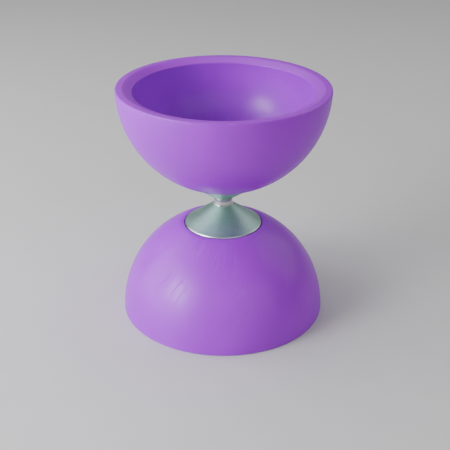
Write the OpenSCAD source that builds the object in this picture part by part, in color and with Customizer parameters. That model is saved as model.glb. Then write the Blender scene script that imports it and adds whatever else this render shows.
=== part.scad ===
// Diabolo: two rubber cups on one fixed steel axle, each clamped between a metal cone and a backing plate.
// It stands on the rim of its lower cup. The origin is at the centre of that rim, +Z is up the axle.

/* [Cups] */
// Outer diameter of a cup at its rim, and of the ball that its outside follows
cup_diameter = 115; // [110:1:125]
// Height from rim to rim
overall_height = 132.2; // [130:0.1:150]
// Wall thickness over the lower half of the bowl
wall = 4.6; // [4:0.2:6]
// Thickness of the wall just inside the mouth, where the cup carries most of its weight
rim_wall = 9; // [8:0.5:10]
// Width of the lip's flat top, counted from the outside of the cup
lip_width = 3.9; // [3:0.1:4.5]
// Depth that the lip slopes down to where the inside of the bowl starts
bevel_depth = 2.1; // [1.5:0.1:2.5]
// Radius on the outer edge of the rim
rim_round = 0.8; // [0.5:0.1:1.6]

/* [Axle] */
// Diameter of the polished band that the string runs on
band_diameter = 11; // [10:0.5:13]
// Width of the band, which is the gap between the two cones
string_gap = 4.2; // [3.4:0.2:5]
// Outer diameter of the threaded studs (M8)
stud_diameter = 8; // [8:0.1:8.2]
// Pitch of their thread
thread_pitch = 1.25; // [1:0.25:1.5]

/* [Cones] */
// Outer diameter of a cone
cone_diameter = 43.2; // [40:0.2:44]
// Thickness of its sheet metal
cone_sheet = 1.6; // [1.2:0.2:2]
// Slope of a cone, in degrees from the plane between the cups
cone_slope = 35; // [34:0.5:36]
// Depth that the rubber around a cone's edge lies below the ball
land_depth = 0.7; // [0.4:0.1:0.9]
// Width of that flattened ring of rubber
land_width = 2.4; // [1.8:0.2:3]

/* [Clamp] */
// Diameter of the backing plate inside a cup
plate_diameter = 36; // [30:1:37]
// Thickness of the backing plate
plate_thickness = 1.5; // [1:0.1:2]
// Diameter of the plain washer under a nut
washer_diameter = 16; // [15:1:20]
// Thickness of the plain washer
washer_thickness = 1.6; // [1.2:0.1:2]
// Width of a nut across its flats
nut_flats = 13; // [13:0.5:14]
// Height of the six-sided part of a nut
nut_hex_height = 5.6; // [5:0.1:6.5]
// Height of the round collar above it, which holds the nylon ring
nut_collar_height = 2.4; // [2:0.1:3]

/* [Hidden] */
$fn = 180;

cup_r = cup_diameter / 2;
middle = overall_height / 2; // height of the plane between the cups
stud_r = stud_diameter / 2;
band_r = band_diameter / 2;
far = 2 * overall_height; // longer than anything here, for cutting

// Clearances round the studs, each a radius
cone_bore = stud_r + 0.1;
cup_bore = stud_r + 0.3;
plate_bore = stud_r + 0.2;
nut_bore = stud_r + 0.05;

// Cone: points are [radius, distance from the plane between the cups]
cone_r = cone_diameter / 2;
along = [cos(cone_slope), sin(cone_slope)]; // down the sheet, away from the axle
inward = [-sin(cone_slope), cos(cone_slope)]; // through the sheet, into the cup
cone_tip = [band_r, string_gap / 2];
sheet_tip = cone_tip + inward * cone_sheet / 2; // on the middle of the sheet
edge_r = cone_r - cone_sheet / 2;
edge = sheet_tip + along * (edge_r - sheet_tip[0]) / along[0]; // centre of the rounded edge
edge_outside = edge - inward * cone_sheet / 2;
edge_inside = edge + inward * cone_sheet / 2;

// Cup: points are [radius, distance from the plane of the rim]
bowl_r = cup_r - wall; // the bottom of the bowl is part of a ball
mouth_r = cup_r - rim_wall;
// The upper bowl is a second arc, from the mouth to half way up the ball, centred on [blend, blend]
blend = (pow(bowl_r, 2) - pow(mouth_r, 2) - pow(bevel_depth, 2))
    / (2 * (sqrt(2) * bowl_r - mouth_r - bevel_depth));
blend_r = bowl_r - blend * sqrt(2);
lip_shoulder = [cup_r - lip_width - 1.6, bevel_depth / 4]; // where the lip's slope gets steeper
floor_r = plate_diameter / 2 + 0.5;
floor_s = sqrt(pow(bowl_r, 2) - pow(floor_r, 2)); // flat floor under the backing plate
seat_r = cone_r + 0.3; // wall of the pocket that the cone's edge sits in
seat_s = middle - edge[1] - cone_sheet / 2 - 0.05; // bottom of that pocket
land_r = seat_r + land_width;
land_s = sqrt(pow(cup_r, 2) - pow(land_r, 2));
hub_tip_r = 6.5;

// Stack inside a cup, as distances from the plane between the cups
plate_at = middle - floor_s;
washer_at = plate_at + plate_thickness;
nut_at = washer_at + washer_thickness;
nut_height = nut_hex_height + nut_collar_height;
stud_past_nut = 2;
stud_end = nut_at + nut_height + stud_past_nut;

// Thread: rings from the backing plate to the stud's end
ridge_r = stud_r - 0.05;
root_r = stud_r - 0.6 * thread_pitch;
thread_turns = floor((stud_end - plate_at - 0.5) / thread_pitch);
thread_end = plate_at + thread_turns * thread_pitch;

// Lock nut's collar: it is thin-walled, with a lip turned in over the nylon ring
collar_r = nut_flats / 2 - 0.5;
ring_r = collar_r - 0.9;
collar_lip = 0.5;
ring_at = nut_at + nut_hex_height;

// How far the inner side of the cone's sheet is from the rim's plane, at radius r
function hub_s(r) = middle - edge_inside[1] + (edge_inside[0] - r) * tan(cone_slope);

// Draws something made for the lower half on the upper half
module upper() {
    translate([0, 0, overall_height]) mirror([0, 0, 1]) children();
}

// Turns an outline of [radius, distance from the middle plane] into a solid of the lower half
module turned_from_middle() {
    translate([0, 0, middle]) mirror([0, 0, 1]) rotate_extrude() children();
}

// One half of the axle's outline: the band, the plain shank, and the ridges of the thread
module half_axle_outline() {
    ridge = [[root_r, 0.1], [ridge_r, 0.45], [ridge_r, 0.6], [root_r, 0.95]];
    polygon([
        [0, 0],
        [band_r, 0],
        [band_r, string_gap / 2],
        [stud_r, string_gap / 2],
        [stud_r, plate_at - 1],
        [root_r, plate_at],
        for (turn = [0 : thread_turns - 1])
            for (point = ridge)
                [point[0], plate_at + (turn + point[1]) * thread_pitch],
        [root_r, thread_end],
        [root_r - 0.3, stud_end],
        [0, stud_end],
    ]);
}

// Steel axle, turned in one piece: the string band in the middle and a threaded stud each way
module axle() {
    color("silver") translate([0, 0, middle]) {
        rotate_extrude() half_axle_outline();
        mirror([0, 0, 1]) rotate_extrude() half_axle_outline();
    }
}

// Dished metal cone with a rounded edge, which butts against the shoulder of the axle's band
module cone() {
    color("lightgrey") turned_from_middle() {
        polygon([
            [cone_bore, cone_tip[1]],
            cone_tip,
            edge_outside,
            edge_inside,
            [cone_bore, middle - hub_s(cone_bore)],
        ]);
        translate(edge) circle(r = cone_sheet / 2);
    }
}

// Half of the ball that the outside of a cup follows: rounded at the rim, flattened and cut at the cone
module cup_outside() {
    round_at = sqrt(pow(cup_r - rim_round, 2) - pow(rim_round, 2));
    difference() {
        circle(r = cup_r);
        translate([-far, -far]) square([2 * far, far]);
        translate([-far, -far]) square([far, 2 * far]);
        difference() {
            translate([round_at, -1]) square([far, rim_round + 1]);
            translate([round_at, rim_round]) circle(r = rim_round);
        }
        polygon([
            [-1, seat_s],
            [seat_r, seat_s],
            [seat_r, sqrt(pow(cup_r, 2) - pow(seat_r, 2)) - land_depth],
            [land_r, land_s],
            [land_r, cup_r + 1],
            [-1, cup_r + 1],
        ]);
    }
}

// Rubber hub that fills the cone
module hub_outline() {
    polygon([
        [0, seat_s - 1],
        [edge_inside[0], seat_s - 1],
        [edge_inside[0], hub_s(edge_inside[0])],
        [hub_tip_r, hub_s(hub_tip_r)],
        [0, hub_s(hub_tip_r)],
    ]);
}

// Space inside a cup: the sloping lip, the upper arc, the ball below it and the flat floor
module cup_inside() {
    polygon([
        [0, -1],
        [cup_r - lip_width, -1],
        [cup_r - lip_width, 0],
        lip_shoulder,
        [mouth_r, bevel_depth],
        [0, bevel_depth],
    ]);
    intersection() {
        translate([blend, blend]) circle(r = blend_r);
        polygon([[0, bevel_depth], [far, bevel_depth], [far, far], [bevel_depth, bevel_depth]]);
    }
    intersection() {
        circle(r = bowl_r);
        polygon([[0, bevel_depth], [bevel_depth, bevel_depth], [floor_s, floor_s], [0, floor_s]]);
    }
}

// Rubber cup: a thick-rimmed bowl with its hub
module cup() {
    color("mediumorchid") rotate_extrude() difference() {
        union() {
            cup_outside();
            hub_outline();
        }
        cup_inside();
        translate([-1, 0]) square([cup_bore + 1, far]);
    }
}

// Flat ring with its face on the middle's side the given distance from the middle plane
module ring(outer, bore, at, thickness) {
    turned_from_middle() translate([bore, at]) square([outer - bore, thickness]);
}

// Steel plate on the floor of a cup
module backing_plate() {
    color("gainsboro") ring(plate_diameter / 2, plate_bore, plate_at, plate_thickness);
}

// Plain washer
module washer() {
    color("silver") ring(washer_diameter / 2, plate_bore, washer_at, washer_thickness);
}

// Six-sided part of a lock nut, with the corners chamfered at both ends
module nut_hex() {
    corner_r = nut_flats / sqrt(3);
    face_r = nut_flats / 2 - 0.1;
    chamfer = (corner_r - face_r) * tan(30);
    intersection() {
        cylinder(r = corner_r, h = nut_hex_height, $fn = 6);
        rotate_extrude() polygon([
            [0, 0],
            [face_r, 0],
            [corner_r, chamfer],
            [corner_r, nut_hex_height - chamfer],
            [face_r, nut_hex_height],
            [0, nut_hex_height],
        ]);
    }
}

// Self-locking nut: the six-sided part, and the round collar rolled over the nylon ring
module lock_nut() {
    color("silver") translate([0, 0, middle - nut_at]) mirror([0, 0, 1]) difference() {
        union() {
            nut_hex();
            rotate_extrude() polygon([
                [0, nut_hex_height - 1],
                [collar_r, nut_hex_height - 1],
                [collar_r, nut_height - collar_lip],
                [collar_r - collar_lip, nut_height],
                [0, nut_height],
            ]);
        }
        translate([0, 0, -1]) cylinder(r = nut_bore, h = far);
        translate([0, 0, nut_hex_height]) cylinder(r = ring_r, h = nut_collar_height - collar_lip);
        translate([0, 0, nut_hex_height]) cylinder(r = ring_r - 0.4, h = far);
    }
}

// Nylon ring inside a lock nut's collar, which grips the thread
module nylon_ring() {
    color("white") ring(ring_r, stud_r, ring_at, nut_collar_height - collar_lip);
}

axle();
upper() cone();  // upper_cone
cone();  // lower_cone
upper() cup();  // upper_cup
cup();  // lower_cup
upper() backing_plate();  // upper_backing_plate
backing_plate();  // lower_backing_plate
upper() washer();  // upper_washer
washer();  // lower_washer
upper() lock_nut();  // upper_lock_nut
lock_nut();  // lower_lock_nut
upper() nylon_ring();  // upper_nylon_ring
nylon_ring();  // lower_nylon_ring
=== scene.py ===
# %% [markdown]
# # A diabolo
# A diabolo is two rubber cups bolted back to back on a short steel axle. A juggler spins it on a string
# that runs in the narrow waist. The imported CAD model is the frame: it says where each piece is and how
# big it is. This script only gives the pieces their finished surfaces.

# %% Load the frame
import math

import bpy
from mathutils import Matrix, Vector


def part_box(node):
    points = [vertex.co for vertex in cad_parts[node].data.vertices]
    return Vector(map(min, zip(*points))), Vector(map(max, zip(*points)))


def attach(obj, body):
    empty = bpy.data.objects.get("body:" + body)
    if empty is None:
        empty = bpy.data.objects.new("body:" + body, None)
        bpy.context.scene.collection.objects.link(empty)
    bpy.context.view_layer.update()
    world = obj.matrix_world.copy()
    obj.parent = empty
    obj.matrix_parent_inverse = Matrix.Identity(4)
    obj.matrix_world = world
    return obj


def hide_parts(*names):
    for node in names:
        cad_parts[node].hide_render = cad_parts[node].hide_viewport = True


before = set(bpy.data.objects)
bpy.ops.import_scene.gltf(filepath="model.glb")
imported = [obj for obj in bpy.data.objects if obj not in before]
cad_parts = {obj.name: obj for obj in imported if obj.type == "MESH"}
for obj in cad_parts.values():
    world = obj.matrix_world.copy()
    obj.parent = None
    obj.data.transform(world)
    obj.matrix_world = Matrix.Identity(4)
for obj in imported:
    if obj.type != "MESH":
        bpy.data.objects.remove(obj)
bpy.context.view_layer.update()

MM = 0.001

# %% [markdown]
# ## The camera
# The camera looks a little down on the diabolo, so that one sees both into the upper bowl and onto the
# dome of the lower cup. A long lens keeps the two rims' ellipses nearly alike, yet not quite, as they are
# to someone who stands at the table. It could be placed by eye in the viewport; as numbers, the same view
# can be had again at any time.

# %% Place the camera
LENS = 74.14  # millimetres on the usual 36 mm sensor
CAMERA_AT = Vector((0, -469.9, 286.4)) * MM
LOOKING_DOWN = 26.71
TURNED_LEFT = -0.13
TILTED_LEFT = 0.39  # all three in degrees

camera = bpy.data.objects.new("camera", bpy.data.cameras.new("camera"))
bpy.context.scene.collection.objects.link(camera)
bpy.context.scene.camera = camera
camera.data.lens = LENS
camera.data.clip_start = 0.01
camera.location = CAMERA_AT
camera.rotation_euler = (
    Matrix.Rotation(math.radians(TURNED_LEFT), 3, "Z")
    @ Matrix.Rotation(math.radians(90 - LOOKING_DOWN), 3, "X")
    @ Matrix.Rotation(math.radians(TILTED_LEFT), 3, "Z")
).to_euler()
print("camera at", [round(value, 3) for value in camera.location])

# %% [markdown]
# ## Writing node trees as sentences
# Both materials and Geometry Nodes are trees of nodes, and maths in them is tedious to place by hand.
# A `Socket` wraps one output, so that `1 - mask * 2` adds the Math nodes itself. A `Tree` has one method,
# `add`, for every other node: its type, its settings, and what goes into its sockets.

# %% Socket and Tree
class Socket:
    """One output of a node. Arithmetic on it adds Math nodes to its tree."""

    def __init__(self, tree, output):
        self.tree = tree
        self.output = output

    def beside(self, name):
        """Another output of the same node."""
        return Socket(self.tree, self.output.node.outputs[name])

    def __add__(self, other):
        return self.tree.math("ADD", self, other)

    def __sub__(self, other):
        return self.tree.math("SUBTRACT", self, other)

    def __rsub__(self, other):
        return self.tree.math("SUBTRACT", other, self)

    def __mul__(self, other):
        return self.tree.math("MULTIPLY", self, other)

    def __truediv__(self, other):
        return self.tree.math("DIVIDE", self, other)

    def __rtruediv__(self, other):
        return self.tree.math("DIVIDE", other, self)

    __radd__ = __add__
    __rmul__ = __mul__


class Tree:
    """A node tree of a material or a Geometry Nodes modifier."""

    def __init__(self, nodes_tree):
        self.tree = nodes_tree
        self.tree.nodes.clear()

    def add(self, kind, settings=(), sockets=(), output=0):
        """Adds a node: settings first, then a value or a link for each named or numbered socket."""
        node = self.tree.nodes.new(kind)
        for name, value in dict(settings).items():
            setattr(node, name, value)
        for name, value in dict(sockets).items():
            if isinstance(value, Socket):
                self.tree.links.new(value.output, node.inputs[name])
            else:
                node.inputs[name].default_value = value
        return Socket(self, node.outputs[output]) if len(node.outputs) else node

    def math(self, operation, *values, clamp=False):
        """One Math node, for what plain arithmetic can't say."""
        return self.add(
            "ShaderNodeMath", {"operation": operation, "use_clamp": clamp}, dict(enumerate(values))
        )

    def between(self, value, low, high):
        """0 below low, 1 above high, a smooth step in between. With low above high it falls instead."""
        return self.add(
            "ShaderNodeMapRange",
            {"interpolation_type": "SMOOTHSTEP"},
            {"Value": value, "From Min": low, "From Max": high},
        )


print("helpers: Socket, Tree")

# %% [markdown]
# ## Sizes
# The frame gives the overall sizes: how high the rims and the waist are, and how far each hidden piece of
# the clamp sits from the waist. What the frame's boxes don't say, such as a wall's thickness, is written
# here once, in millimetres times MM.

# %% Read the sizes from the frame
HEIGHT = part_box("upper_cup")[1].z
WAIST = HEIGHT / 2
BALL_R = 57.5 * MM  # the outside of a cup follows a ball of this radius, centred on the rim's plane


def span(node):
    """Nearest and furthest distance of an upper node from the waist."""
    low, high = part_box(node)
    return low.z - WAIST, high.z - WAIST


def radius_of(node):
    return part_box(node)[1].x


CONE_R = radius_of("upper_cone")
BAND_R = radius_of("axle")
PLATE_R = radius_of("upper_backing_plate")
WASHER_R = radius_of("upper_washer")
NUT_FLATS = 2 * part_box("upper_lock_nut")[1].y
STRING_GAP = 2 * span("upper_cone")[0]
STUD_END = span("axle")[1]
STUD_R = 4 * MM
for label, size in (("height", HEIGHT), ("cone radius", CONE_R), ("stud end", STUD_END)):
    print(label, round(size / MM, 2))

# %% [markdown]
# ## Drawing an outline
# Every piece here is turned or moulded round the axle, so each starts as an outline of corners, given as
# (radius, distance) with the rounding that the corner has. `arc` gives the points of a round stretch, and
# `softened` turns each rounded corner into a short arc. Straight edges get one more point close to each
# arc, which keeps the shading of flat faces flat. A Bevel modifier could round the finished mesh instead,
# but an outline lets each corner have the radius that its tool or mould gave it.

# %% Helpers for outlines
def arc(centre, radius, start, end, steps):
    """Points on a circle about centre, from one angle to another in degrees, as unrounded corners."""
    angles = [math.radians(start + (end - start) * i / steps) for i in range(steps + 1)]
    return [(centre[0] + radius * math.cos(a), centre[1] + radius * math.sin(a), 0) for a in angles]


def softened(corners):
    """Replaces each rounded corner of a closed outline by an arc that touches both its sides."""
    points = []
    for i, (x, y, radius) in enumerate(corners):
        here = Vector((x, y))
        before = Vector(corners[i - 1][:2]) - here
        after = Vector(corners[(i + 1) % len(corners)][:2]) - here
        if radius == 0:
            points.append(here)
            continue
        half = before.angle(after) / 2
        room = 0.45 * min(before.length, after.length)
        tangent = min(radius / math.tan(half), room)
        radius = tangent * math.tan(half)
        a, b = before.normalized(), after.normalized()
        centre = here + (a + b).normalized() * (radius / math.sin(half))
        hold = min(0.25 * radius, room - tangent)
        steps = max(2, round((math.pi - 2 * half) / math.radians(14)))
        first, last = here + a * tangent - centre, here + b * tangent - centre
        turn = first.angle_signed(last)
        points.append(here + a * (tangent + hold))
        for step in range(steps + 1):
            angle = -turn * step / steps
            cos, sin = math.cos(angle), math.sin(angle)
            points.append(centre + Vector((first.x * cos - first.y * sin, first.x * sin + first.y * cos)))
        points.append(here + b * (tangent + hold))
    return points


square = softened([(0, 0, 0.1), (1, 0, 0.1), (1, 1, 0.1), (0, 1, 0.1)])
print("a softened square has", len(square), "points")

# %% [markdown]
# ## The lathe
# One Geometry Nodes tree turns any outline round the axle, as a lathe or a round mould does. The outline
# is swept round a circle. Three named inputs then add what real pieces have: `Across Flats` planes a nut's
# six sides, `Unevenness` lets moulded rubber swell and shrink by a few hundredths of a millimetre, and
# `Thread Pitch` cuts a right-hand screw thread past `Thread Start`. A Screw modifier turns an outline too,
# but it knows neither flats nor threads, and here one tree serves all thirteen pieces.

# %% Build the lathe tree
PATH_R = 0.02  # radius of the circle that the outline is swept round; any size does
SEED_STEP = 7.3  # how far apart in the noise's fourth dimension two seeds lie
TINY = 1e-6  # points nearer than this are one point


def add_input(group, name, kind, default):
    socket = group.interface.new_socket(name=name, in_out="INPUT", socket_type=kind)
    if default is not None:
        socket.default_value = default
    return socket


def build_lathe():
    group = bpy.data.node_groups.new("lathe", "GeometryNodeTree")
    add_input(group, "Outline", "NodeSocketGeometry", None)
    add_input(group, "Segments", "NodeSocketInt", 192)
    add_input(group, "Across Flats", "NodeSocketFloat", 1.0)
    add_input(group, "Unevenness", "NodeSocketFloat", 0.0)
    add_input(group, "Unevenness Size", "NodeSocketFloat", 0.02)
    add_input(group, "Seed", "NodeSocketInt", 1)
    add_input(group, "Thread Pitch", "NodeSocketFloat", 0.00125)
    add_input(group, "Thread Depth", "NodeSocketFloat", 0.0)
    add_input(group, "Thread Start", "NodeSocketFloat", 0.0)
    add_input(group, "Thread Middle", "NodeSocketFloat", 0.0)
    add_input(group, "Material", "NodeSocketMaterial", None)
    group.interface.new_socket(name="Piece", in_out="OUTPUT", socket_type="NodeSocketGeometry")
    tree = Tree(group)
    given = tree.add("NodeGroupInput")

    # Sweep the outline round a circle. Curve to Mesh puts the profile's x outwards and its y downwards.
    profile = tree.add("GeometryNodeMeshToCurve", sockets={"Mesh": given})
    profile = tree.add(
        "GeometryNodeTransform",
        sockets={"Geometry": profile, "Translation": (-PATH_R, 0, 0), "Scale": (1, -1, 1)},
    )
    circle = tree.add(
        "GeometryNodeCurvePrimitiveCircle",
        sockets={"Resolution": given.beside("Segments"), "Radius": PATH_R},
    )
    turned = tree.add("GeometryNodeCurveToMesh", sockets={"Curve": circle, "Profile Curve": profile})

    # Where each point is: its radius, its angle round the axle and its height
    place = tree.add("ShaderNodeSeparateXYZ", sockets={0: tree.add("GeometryNodeInputPosition")})
    x, y, z = place, place.beside("Y"), place.beside("Z")
    radius = tree.math("SQRT", x * x + y * y)
    angle = tree.math("ARCTAN2", y, x)

    # Six flats: a point may be no further out than the nearest flat
    sector = math.tau / 6
    from_corner = tree.math("FLOORED_MODULO", angle, sector) - sector / 2
    flat = given.beside("Across Flats") / 2 / tree.math("COSINE", from_corner)
    wanted = tree.math("MINIMUM", radius, flat)

    # Unevenness: slow random swelling, never along the axle, so that rims stay flat
    scale = 1 / given.beside("Unevenness Size")
    noise = tree.add(
        "ShaderNodeTexNoise",
        {"noise_dimensions": "4D"},
        {"W": given.beside("Seed") * SEED_STEP, "Scale": scale, "Detail": 1.0},
    )
    wanted = wanted + (noise - 0.5) * 2 * given.beside("Unevenness")

    # Thread: the groove is a triangle wave that climbs one pitch in one turn, and it fades in at its start
    pitch = given.beside("Thread Pitch")
    phase = tree.math("FRACT", z / pitch - angle / math.tau + 100)
    wave = tree.math("ABSOLUTE", phase * 2 - 1)
    groove = tree.between(wave, 0.12, 0.88)
    away = tree.math("ABSOLUTE", z - given.beside("Thread Middle")) - given.beside("Thread Start")
    fade = tree.math("DIVIDE", away, pitch, clamp=True)
    wanted = wanted - groove * fade * given.beside("Thread Depth")

    ratio = wanted / tree.math("MAXIMUM", radius, TINY)
    moved = tree.add("ShaderNodeCombineXYZ", sockets={"X": x * ratio, "Y": y * ratio, "Z": z})
    turned = tree.add("GeometryNodeSetPosition", sockets={"Geometry": turned, "Position": moved})
    turned = tree.add("GeometryNodeMergeByDistance", sockets={"Geometry": turned, "Distance": TINY})
    turned = tree.add("GeometryNodeSetShadeSmooth", sockets={"Geometry": turned})
    turned = tree.add("GeometryNodeRealizeInstances", sockets={"Geometry": turned})
    turned = tree.add(
        "GeometryNodeSetMaterial", sockets={"Geometry": turned, "Material": given.beside("Material")}
    )
    tree.add("NodeGroupOutput", sockets={"Piece": turned})
    return group


LATHE = build_lathe()
print("lathe nodes:", len(LATHE.nodes))

# %% [markdown]
# ## From outline to finished piece
# `turn` lays the outline down as a chain of edges, hands it to the lathe, and keeps the result as a plain
# mesh. The upper and lower halves are mirror images, so an outline is drawn once, as distances from a
# plane, and `upper_place` or `lower_place` says where the distances go. The last step points all faces
# outwards, because a mirrored outline comes off the lathe inside out.

# %% Turn a piece
def upper_place(distance):
    return WAIST + distance


def lower_place(distance):
    return WAIST - distance


def turn(name, corners, place, material, closed=True, **inputs):
    """Turns an outline of (radius, distance from the waist, rounding) and returns the finished piece."""
    points = softened(corners) if closed else [Vector(corner[:2]) for corner in corners]
    chain = bpy.data.meshes.new(name)
    edges = [(i, i + 1) for i in range(len(points) - 1)]
    if closed:
        edges.append((len(points) - 1, 0))
    chain.from_pydata([(p.x, place(p.y), 0) for p in points], edges, [])
    piece = bpy.data.objects.new(name, chain)
    bpy.context.scene.collection.objects.link(piece)
    lathe = piece.modifiers.new("lathe", "NODES")
    lathe.node_group = LATHE
    values = {"Material": material, **inputs}
    for item in LATHE.interface.items_tree:
        if item.in_out == "INPUT" and item.name in values:
            lathe[item.identifier] = values[item.name]
    seen = piece.evaluated_get(bpy.context.evaluated_depsgraph_get())
    piece.data = bpy.data.meshes.new_from_object(seen)
    piece.data.name = name
    piece.modifiers.clear()
    face_outwards(piece.data)
    print(name, "faces:", len(piece.data.polygons))
    return piece


def face_outwards(mesh):
    """Turns the whole mesh over if its faces point inwards: a closed shape then has a negative volume."""
    mesh.calc_loop_triangles()
    points = mesh.vertices
    volume = 0.0
    for triangle in mesh.loop_triangles:
        a, b, c = (points[i].co for i in triangle.vertices)
        volume += a.dot(b.cross(c))
    if volume < 0:
        mesh.flip_normals()


def stand_for(piece, node):
    """The piece takes a CAD node's place: it is attached to the root body, and the node is hidden."""
    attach(piece, "root")
    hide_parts(node)


# %% [markdown]
# ## Cup rubber
# Diabolo cups are moulded from a tough rubber that is coloured all through. It is matt in itself, under a
# thin waxy film that gives it a second, tighter gloss. Close up it is never one flat colour: the pigment
# drifts a little, the mould leaves a fine pebble, the string wears faint dull lines into the dome on its
# way to the waist, and the rim is rubbed paler where the cup lands. It could be painted on an unwrapped
# mesh. Here it is all worked out from where a point is in space, which leaves no seam and no blur close up.

# %% Make the rubber
RUBBER = (0.34, 0.003, 0.65)
RUBBER_DEEP = (0.31, 0.002, 0.60)
RUBBER_RUBBED = (0.42, 0.08, 0.74)


def new_material(name):
    material = bpy.data.materials.new(name)
    material.use_nodes = True
    return material, Tree(material.node_tree)


def finish_material(tree, colour, metallic, roughness, bump, **shader_constants):
    """The shader node, with what varies over the surface linked and what doesn't set on its own sockets."""
    sockets = {"Base Color": colour, "Metallic": metallic, "Roughness": roughness, "Normal": bump}
    sockets.update(shader_constants)
    shader = tree.add("ShaderNodeBsdfPrincipled", sockets=sockets)
    tree.add("ShaderNodeOutputMaterial", sockets={"Surface": shader})


def noise(tree, where, scale, detail=2.0, roughness=0.5):
    return tree.add(
        "ShaderNodeTexNoise",
        sockets={"Vector": where, "Scale": scale, "Detail": detail, "Roughness": roughness},
    )


def bumpy(tree, height, strength, depth):
    """Normals that are tilted by a height of 0 to 1, which stands for this depth in metres."""
    return tree.add("ShaderNodeBump", sockets={"Strength": strength, "Distance": depth, "Height": height})


def mix_colours(tree, factor, first, second):
    """A colour between two others. The numbered sockets are the Mix node's colour ones."""
    as_colour = [(*c, 1) if isinstance(c, tuple) else c for c in (first, second)]
    return tree.add(
        "ShaderNodeMix",
        {"data_type": "RGBA"},
        {"Factor": factor, 6: as_colour[0], 7: as_colour[1]},
        output=2,
    )


def round_the_axle(tree):
    """Object coordinates, and from them the radius, the angle and the distance from the waist."""
    where = tree.add("ShaderNodeTexCoord", output="Object")
    place = tree.add("ShaderNodeSeparateXYZ", sockets={0: where})
    x, y, z = place, place.beside("Y"), place.beside("Z")
    radius = tree.math("SQRT", x * x + y * y)
    return where, radius, tree.math("ARCTAN2", y, x), tree.math("ABSOLUTE", z - WAIST)


def build_rubber():
    material, tree = new_material("cup_rubber")
    where, radius, angle, from_waist = round_the_axle(tree)
    drift = noise(tree, where, scale=28.0, detail=3.0)
    pebble = noise(tree, where, scale=1500.0)
    lumps = noise(tree, where, scale=260.0)

    # String lines: noise that is drawn out along the dome and fine across it, kept to the outside
    across = tree.add(
        "ShaderNodeCombineXYZ",
        sockets={"X": angle * 13 + from_waist * 160, "Y": from_waist * 24, "Z": 0.0},
    )
    lines = tree.between(noise(tree, across, scale=3.0, detail=3.0, roughness=0.7), 0.55, 0.64)
    on_dome = tree.between(from_waist, 58 * MM, 30 * MM)
    patches = tree.between(noise(tree, where, scale=45.0), 0.47, 0.58)
    strings = lines * on_dome * patches

    # Rubbed rim: only at the outermost millimetres next to the rim's plane
    rim = tree.between(from_waist, WAIST - 3.0 * MM, WAIST - 0.4 * MM) * tree.between(
        radius, BALL_R - 3.4 * MM, BALL_R - 1.2 * MM
    )
    rubbed = rim * tree.between(noise(tree, where, scale=320.0, detail=4.0, roughness=0.65), 0.44, 0.70)

    colour = mix_colours(tree, tree.between(drift, 0.35, 0.68), RUBBER_DEEP, RUBBER)
    colour = mix_colours(tree, rubbed * 0.3 + strings * 0.3, colour, RUBBER_RUBBED)
    roughness = 0.55 + (drift - 0.5) * 0.16 + (pebble - 0.5) * 0.10 + strings * 0.3 + rubbed * 0.18
    film = 0.30 - strings * 0.28 - rubbed * 0.25
    height = pebble * 0.25 + lumps * 0.6 - strings * 2.0
    gloss = {"Specular IOR Level": 0.3, "Coat Weight": film, "Coat Roughness": 0.23}
    finish_material(tree, colour, 0.0, roughness, bumpy(tree, height, 0.35, 0.06 * MM), **gloss)
    return material


CUP_RUBBER = build_rubber()
print("material:", CUP_RUBBER.name)

# %% [markdown]
# ## Metals
# The cones are turned and then dulled to a satin, so light draws out into soft fans across faint rings.
# The steel has a cool, slightly green cast. The band of the axle is polished by the string, and its thread
# stays rougher. The clamp's plates, washers and nuts are ordinary zinc-plated hardware, with the cloudy,
# slightly warm look of plating. The nylon of the locking rings is a plain off-white. Anisotropic shading
# could draw the turned look too, but real rings in the bump also show their own fine lines close up.

# %% Make the metals
def rings_on(tree, radius, from_waist, per_metre):
    """Fine rings as a tool leaves them: noise that only changes along the outline, not round it."""
    along = tree.add("ShaderNodeCombineXYZ", sockets={"X": radius * per_metre, "Y": from_waist * per_metre})
    return noise(tree, along, scale=1.0, detail=3.0, roughness=0.6)


def build_satin_steel():
    material, tree = new_material("satin_steel")
    where, radius, _, from_waist = round_the_axle(tree)
    rings = rings_on(tree, radius, from_waist, 2600.0)
    wide_rings = rings_on(tree, radius, from_waist, 420.0)
    grain = noise(tree, where, scale=1300.0, detail=3.0, roughness=0.7)
    clouds = noise(tree, where, scale=90.0, detail=3.0)
    # The rolled edge, the outermost part of the cone's radius, is painted paler: a painted highlight added
    # to the thin bright line that the edge catches from the lamps. It is also made smoother there.
    painted_edge_highlight = tree.between(radius, CONE_R - 0.9 * MM, CONE_R - 0.3 * MM)
    colour = mix_colours(tree, tree.between(clouds, 0.3, 0.7), (0.30, 0.455, 0.42), (0.36, 0.53, 0.49))
    colour = mix_colours(tree, tree.between(grain, 0.52, 0.66) * 0.6, colour, (0.22, 0.33, 0.31))
    colour = mix_colours(tree, painted_edge_highlight, colour, (0.46, 0.54, 0.54))
    roughness = 0.47 + (clouds - 0.5) * 0.10 + (grain - 0.5) * 0.16 - painted_edge_highlight * 0.16
    roughness = roughness + (wide_rings - 0.5) * 0.12
    height = rings * 0.7 + wide_rings * 0.8 + grain * 1.2
    finish_material(tree, colour, 1.0, roughness, bumpy(tree, height, 0.45, 0.04 * MM))
    return material


def build_polished_steel():
    material, tree = new_material("polished_steel")
    where, radius, _, from_waist = round_the_axle(tree)
    scratches = rings_on(tree, radius * 0.3, from_waist, 5200.0)
    thread = tree.between(from_waist, STRING_GAP / 2 + 0.1 * MM, STRING_GAP / 2 + 0.6 * MM)
    clouds = noise(tree, where, scale=400.0, detail=3.0)
    colour = mix_colours(tree, thread, (0.50, 0.51, 0.52), (0.42, 0.42, 0.42))
    roughness = 0.06 + scratches * 0.06 + thread * (0.22 + clouds * 0.1)
    finish_material(tree, colour, 1.0, roughness, bumpy(tree, scratches, 0.10, 0.02 * MM))
    return material


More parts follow.
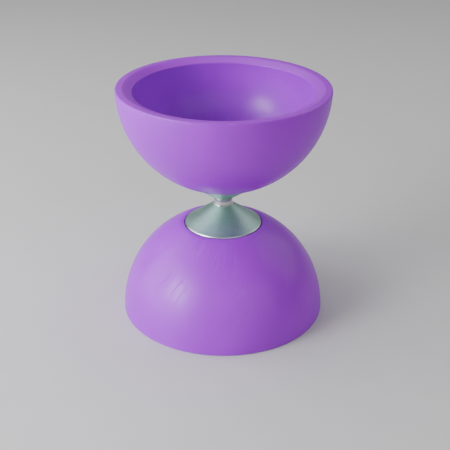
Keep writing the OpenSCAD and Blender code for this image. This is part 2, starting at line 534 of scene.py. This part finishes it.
def build_zinc_steel():
    material, tree = new_material("zinc_steel")
    where, radius, _, from_waist = round_the_axle(tree)
    clouds = noise(tree, where, scale=240.0, detail=4.0, roughness=0.6)
    grain = noise(tree, where, scale=3200.0)
    rings = rings_on(tree, radius, from_waist * 0.2, 1800.0)
    colour = mix_colours(tree, tree.between(clouds, 0.3, 0.7), (0.48, 0.49, 0.48), (0.62, 0.61, 0.57))
    roughness = 0.30 + (clouds - 0.5) * 0.22 + (grain - 0.5) * 0.12
    height = rings * 0.5 + grain * 0.4
    finish_material(tree, colour, 1.0, roughness, bumpy(tree, height, 0.3, 0.03 * MM))
    return material


def build_nylon():
    material, tree = new_material("nylon")
    where = tree.add("ShaderNodeTexCoord", output="Object")
    clouds = noise(tree, where, scale=500.0, detail=3.0)
    colour = mix_colours(tree, clouds, (0.66, 0.66, 0.60), (0.78, 0.78, 0.74))
    roughness = 0.42 + (clouds - 0.5) * 0.2
    finish_material(tree, colour, 0.0, roughness, bumpy(tree, clouds, 0.2, 0.03 * MM))
    return material


SATIN_STEEL = build_satin_steel()
POLISHED_STEEL = build_polished_steel()
ZINC_STEEL = build_zinc_steel()
NYLON = build_nylon()
print("materials:", [m.name for m in (SATIN_STEEL, POLISHED_STEEL, ZINC_STEEL, NYLON)])

# %% [markdown]
# ## Cones
# Each cone is a dished disc of thick sheet. From the axle it slopes out at 35 degrees, and over its last
# two millimetres it eases off a little before the rolled edge, which catches a thin bright line of light.
# A cone primitive with Solidify would have a square edge, and no such line. So it is drawn as a closed
# outline: outer side, edge, inner side and bore.

# %% Turn the cones
SLOPE = math.radians(35)
SHEET = 1.6 * MM
CONE_BORE = STUD_R + 0.1 * MM
DOWN = Vector((math.cos(SLOPE), math.sin(SLOPE)))  # down the sheet, away from the axle
THROUGH = Vector((-math.sin(SLOPE), math.cos(SLOPE)))  # through the sheet, into the cup
CONE_TIP = Vector((BAND_R, STRING_GAP / 2))
MID_TIP = CONE_TIP + THROUGH * SHEET / 2
EDGE = MID_TIP + DOWN * ((CONE_R - SHEET / 2 - MID_TIP.x) / DOWN.x)  # centre of the rolled edge


def cone_inside(radius):
    """Distance from the waist to the inner side of the sheet."""
    corner = EDGE + THROUGH * SHEET / 2
    return corner.y - (corner.x - radius) * math.tan(SLOPE)


def cone_outline():
    skirt = EDGE - THROUGH * (SHEET / 2 - 0.02 * MM) - DOWN * 2.2 * MM  # where the slope eases off
    edge_low = EDGE - THROUGH * (SHEET / 2 + 0.05 * MM)
    inside = EDGE + THROUGH * SHEET / 2
    slope = math.degrees(SLOPE)
    return [
        (CONE_BORE, CONE_TIP.y, 0.1 * MM),
        (CONE_TIP.x, CONE_TIP.y, 0.2 * MM),
        (skirt.x, skirt.y, 2.5 * MM),
        (edge_low.x, edge_low.y, 0.3 * MM),
        *arc(EDGE, SHEET / 2, slope - 75, slope + 80, 12),
        (inside.x, inside.y, 0),
        (CONE_BORE, cone_inside(CONE_BORE), 0.1 * MM),
    ]


for half, place in (("upper", upper_place), ("lower", lower_place)):
    cone = turn(half + "_turned_cone", cone_outline(), place, SATIN_STEEL, Segments=224)
    stand_for(cone, half + "_cone")

# %% [markdown]
# ## Cups
# A cup is a bowl with a thick rim, which puts its weight far out and makes it spin for long. Half a sphere
# with Solidify would be equally thick all over, so the whole section is drawn. From outside to inside the
# outline goes: the flattened ring round the cone, the ball, the rounded rim, the nearly flat lip, a soft
# edge where the bowl begins, the steep wall, the round bottom, and the flat floor of the clamp.

# %% Turn the cups
WALL = 4.6 * MM
RIM_WALL = 9 * MM
LIP_WIDTH = 3.9 * MM
BEVEL_DEPTH = 2.1 * MM
RIM_ROUND = 0.8 * MM
CUP_BORE = STUD_R + 0.3 * MM
HUB_TIP_R = 6.5 * MM


def on_ball(radius, ball_radius=BALL_R):
    """Distance from the waist of a ball's surface that is centred on the rim's plane."""
    return WAIST - math.sqrt(ball_radius**2 - radius**2)


def cup_outline():
    bowl_r = BALL_R - WALL
    mouth_r = BALL_R - RIM_WALL
    floor_r = PLATE_R + 0.5 * MM
    seat_r = CONE_R + 0.3 * MM
    seat = EDGE.y + SHEET / 2 + 0.05 * MM
    land_r = seat_r + 2.4 * MM
    land_depth = 0.7 * MM
    hub_r = (EDGE + THROUGH * SHEET / 2).x

    # The upper bowl is an arc from the mouth to half way up the ball, centred at 45 degrees
    blend = (bowl_r**2 - mouth_r**2 - BEVEL_DEPTH**2) / (
        2 * (math.sqrt(2) * bowl_r - mouth_r - BEVEL_DEPTH)
    )
    blend_r = bowl_r - blend * math.sqrt(2)
    mouth_angle = math.degrees(math.atan2(BEVEL_DEPTH - blend, mouth_r - blend))
    floor_angle = math.degrees(math.acos(floor_r / bowl_r))
    land_angle = math.degrees(math.acos(land_r / BALL_R))
    rim_centre_r = math.sqrt((BALL_R - RIM_ROUND) ** 2 - RIM_ROUND**2)
    rim_angle = math.degrees(math.atan2(RIM_ROUND, rim_centre_r))

    def from_rim(points):
        """Turns distances from the rim's plane into distances from the waist."""
        return [(radius, WAIST - distance, rounding) for radius, distance, rounding in points]

    return [
        (CUP_BORE, cone_inside(HUB_TIP_R), 0.2 * MM),
        (HUB_TIP_R, cone_inside(HUB_TIP_R), 0.2 * MM),
        (hub_r, cone_inside(hub_r), 0),
        (hub_r, seat, 0),
        (seat_r, seat, 0.2 * MM),
        (seat_r, on_ball(seat_r) + land_depth, 0.35 * MM),
        (land_r, on_ball(land_r), 5 * MM),
        *from_rim(arc((0, 0), BALL_R, land_angle - 1.2, rim_angle, 48)),
        *from_rim(arc((rim_centre_r, RIM_ROUND), RIM_ROUND, rim_angle, -90, 10)[1:]),
        *from_rim([
            (BALL_R - LIP_WIDTH, 0, 1.2 * MM),
            (BALL_R - LIP_WIDTH - 1.6 * MM, BEVEL_DEPTH / 4, 1 * MM),
            (mouth_r, BEVEL_DEPTH, 0.6 * MM),
        ]),
        *from_rim(arc((blend, blend), blend_r, mouth_angle + 2.5, 45, 22)),
        *from_rim(arc((0, 0), bowl_r, 45, floor_angle, 14)[1:-1]),
        (floor_r, on_ball(floor_r, bowl_r), 0.4 * MM),
        (CUP_BORE, on_ball(floor_r, bowl_r), 0.2 * MM),
    ]


for half, place, seed in (("upper", upper_place, 3), ("lower", lower_place, 8)):
    cup = turn(
        half + "_moulded_cup", cup_outline(), place, CUP_RUBBER,
        Segments=256, Unevenness=0.02 * MM, Seed=seed,
    )
    stand_for(cup, half + "_cup")

# %% [markdown]
# ## Axle
# The axle is one turned spindle. Its middle is the polished band that the string runs on, and there the
# string has worn it a little hollow. Either side of it a plain shank carries an M8 thread. The outline is
# drawn open, from end to end on the axis, and dense where the lathe cuts the thread. Threads could be cut
# with a Boolean as well, but moving the lathe's own points keeps the axle one clean skin.

# %% Turn the axle
PITCH = 1.25 * MM
THREAD_DEPTH = 0.6 * PITCH
SHANK_R = STUD_R - 0.05 * MM
WORN_AWAY = 0.3 * MM
RINGS_PER_PITCH = 12
RINGS_IN_BAND = 12


def half_axle(sign):
    """Outline from the waist out to one end."""
    thread_from = span("upper_backing_plate")[0]
    chamfer = 0.7 * MM
    thread_length = STUD_END - chamfer - thread_from
    steps = round(thread_length / PITCH * RINGS_PER_PITCH)
    along_band = [i / RINGS_IN_BAND for i in range(RINGS_IN_BAND)]
    worn = [(BAND_R - WORN_AWAY * (1 - t**2), STRING_GAP / 2 * t) for t in along_band]
    ends = [
        (BAND_R, STRING_GAP / 2 - 0.12 * MM),
        (BAND_R - 0.12 * MM, STRING_GAP / 2),
        (SHANK_R, STRING_GAP / 2),
        (SHANK_R, STRING_GAP / 2 + 0.2 * MM),
    ]
    thread = [(SHANK_R, thread_from + thread_length * i / steps) for i in range(steps + 1)]
    tip = [
        (SHANK_R - chamfer * 0.5, STUD_END - chamfer * 0.5),
        (SHANK_R - chamfer, STUD_END - 0.03 * MM),
        (SHANK_R - chamfer - 0.1 * MM, STUD_END),
        (SHANK_R - chamfer - 0.3 * MM, STUD_END),
        (0, STUD_END),
    ]
    return [(radius, sign * distance, 0) for radius, distance in worn + ends + thread + tip]


axle = turn(
    "turned_axle", half_axle(-1)[:0:-1] + half_axle(1), upper_place, POLISHED_STEEL, closed=False,
    **{
        "Segments": 96,
        "Thread Pitch": PITCH,
        "Thread Depth": THREAD_DEPTH,
        "Thread Start": span("upper_backing_plate")[0],
        "Thread Middle": WAIST,
    },
)
stand_for(axle, "axle")

# %% [markdown]
# ## The clamp
# Inside each bowl a steel plate presses the rubber hub against the cone, then come a washer and a
# self-locking nut. Stamped parts have one rounded and one sharper edge, and the nut's top is a thin collar
# that was rolled over a ring of white nylon. The nut could be a bevelled six-sided prism. It is turned like
# the rest and then gets its six flats, because its chamfers then end in the curves of a real nut.

# %% Turn the plates, washers, nuts and rings
HOLE_R = STUD_R + 0.2 * MM
NUT_BORE = STUD_R + 0.05 * MM
NUT_HEX = 5.6 * MM
COLLAR_LIP = 0.5 * MM


def stamped_outline(node, outer, soft, sharp):
    """A flat ring: rounded on the side that the punch came from, nearly sharp on the other."""
    near, far = span(node)
    return [
        (HOLE_R, near, sharp),
        (outer, near, sharp),
        (outer, far, soft),
        (HOLE_R, far, soft),
    ]


def nut_outline():
    near, far = span("upper_lock_nut")
    corner_r = NUT_FLATS / math.sqrt(3) * 0.995  # real corners are a little blunt
    face_r = NUT_FLATS / 2 - 0.1 * MM
    chamfer = (corner_r - face_r) * math.tan(math.radians(30))
    collar_r = NUT_FLATS / 2 - 0.5 * MM
    ring_r = collar_r - 0.9 * MM

    def slanted(start, end, steps=8):
        """Points along a chamfer, so that the flats cut it in a smooth curve."""
        return [
            (start[0] + (end[0] - start[0]) * i / steps, start[1] + (end[1] - start[1]) * i / steps, 0)
            for i in range(steps + 1)
        ]

    return [
        (NUT_BORE, near, 0.2 * MM),
        (face_r - 0.2 * MM, near, 0),
        *slanted((face_r, near), (corner_r, near + chamfer)),
        *slanted((corner_r, near + NUT_HEX - chamfer), (face_r, near + NUT_HEX)),
        (collar_r + 0.15 * MM, near + NUT_HEX, 0),
        (collar_r, near + NUT_HEX + 0.15 * MM, 0),
        (collar_r, far, 0.7 * MM),
        (ring_r - 0.4 * MM, far, 0.2 * MM),
        (ring_r - 0.4 * MM, far - COLLAR_LIP, 0.1 * MM),
        (ring_r, far - COLLAR_LIP, 0),
        (ring_r, near + NUT_HEX, 0),
        (NUT_BORE, near + NUT_HEX, 0.2 * MM),
    ]


def ring_outline():
    near, far = span("upper_nylon_ring")
    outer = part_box("upper_nylon_ring")[1].x
    return [
        (STUD_R, near, 0.1 * MM),
        (outer, near, 0.05 * MM),
        (outer, far, 0.05 * MM),
        (STUD_R, far, 0.4 * MM),
    ]


for half, place in (("upper", upper_place), ("lower", lower_place)):
    plate = turn(
        half + "_stamped_plate",
        stamped_outline("upper_backing_plate", PLATE_R, 0.5 * MM, 0.1 * MM),
        place, ZINC_STEEL, Segments=160,
    )
    stand_for(plate, half + "_backing_plate")
    washer = turn(
        half + "_stamped_washer",
        stamped_outline("upper_washer", WASHER_R, 0.35 * MM, 0.1 * MM),
        place, ZINC_STEEL, Segments=128,
    )
    stand_for(washer, half + "_washer")
    nut = turn(
        half + "_six_sided_nut", nut_outline(), place, ZINC_STEEL,
        **{"Segments": 180, "Across Flats": NUT_FLATS},
    )
    stand_for(nut, half + "_lock_nut")
    ring = turn(half + "_grip_ring", ring_outline(), place, NYLON, Segments=96)
    stand_for(ring, half + "_nylon_ring")

# %% [markdown]
# ## Floor and light
# The diabolo stands on a plain pale sweep. A wide softbox on the left lights it, and a lamp in front of
# that box gives the domes the brighter heart of their highlight. Three weak panels, in front, on the right
# and high behind on the left, keep the shaded sides and the far rim readable. A picture of a studio as the
# world's light could do the same, but lamps can be moved one by one. The world itself is dim, so that metal
# keeps dark parts to contrast with. The view transform lets bright rubber go paler, as film does.

# %% Make the floor
def make_floor():
    """A flat floor that bends up into a wall behind the diabolo. All sizes are metres."""
    mesh = bpy.data.meshes.new("floor")
    far, wall, half_width = 1.6, 1.2, 2.5
    radius, steps = 0.5, 12
    rows = [(-far, 0.0), (far - radius, 0.0)]
    for step in range(1, steps + 1):
        angle = math.pi / 2 * step / steps
        rows.append((far - radius + radius * math.sin(angle), radius - radius * math.cos(angle)))
    rows.append((far, wall))
    points = [(x, y, z) for y, z in rows for x in (-half_width, half_width)]
    faces = [(2 * i, 2 * i + 1, 2 * i + 3, 2 * i + 2) for i in range(len(rows) - 1)]
    mesh.from_pydata(points, [], faces)
    mesh.polygons.foreach_set("use_smooth", [True] * len(mesh.polygons))
    floor = bpy.data.objects.new("floor", mesh)
    bpy.context.scene.collection.objects.link(floor)
    material, tree = new_material("pale_floor")
    where = tree.add("ShaderNodeTexCoord", output="Object")
    speckle = noise(tree, where, scale=60.0, detail=3.0)
    colour = mix_colours(tree, speckle, (0.55, 0.55, 0.56), (0.58, 0.58, 0.59))
    finish_material(tree, colour, 0.0, 0.6 + (speckle - 0.5) * 0.1, (0, 0, 0))
    mesh.materials.append(material)
    return floor


make_floor()
print("floor in place")

# %% Make the lights
def softbox(name, azimuth, elevation, distance, size, brightness):
    """An area light that faces the diabolo. Azimuth 0 is the camera's side, and it grows to the right."""
    light = bpy.data.lights.new(name, "AREA")
    light.shape = "RECTANGLE"
    light.size, light.size_y = size
    light.energy = brightness * math.pi * size[0] * size[1]
    lamp = bpy.data.objects.new(name, light)
    around, up = math.radians(azimuth), math.radians(elevation)
    away = Vector((math.sin(around) * math.cos(up), -math.cos(around) * math.cos(up), math.sin(up)))
    target = Vector((0, 0, WAIST))
    lamp.location = target + away * distance
    lamp.rotation_euler = away.to_track_quat("Z", "Y").to_euler()
    bpy.context.scene.collection.objects.link(lamp)


softbox("left_softbox", -76, 21, 0.75, (1.15, 0.66), 3.4)
softbox("left_lamp", -60, 22, 0.8, (0.34, 0.3), 15)
softbox("front_panel", 25, 24, 1.2, (1.9, 0.9), 0.85)
softbox("right_panel", 116, 32, 1.0, (0.8, 0.8), 1.15)
softbox("top_panel", -140, 58, 1.1, (1.0, 0.8), 1.5)

world = bpy.data.worlds.new("studio")
world.use_nodes = True
background = world.node_tree.nodes["Background"].inputs
background["Color"].default_value = (0.80, 0.77, 0.76, 1)
background["Strength"].default_value = 0.22
bpy.context.scene.world = world

view = bpy.context.scene.view_settings
view.view_transform = "AgX"
view.look = "AgX - Punchy"
view.exposure = 0.95
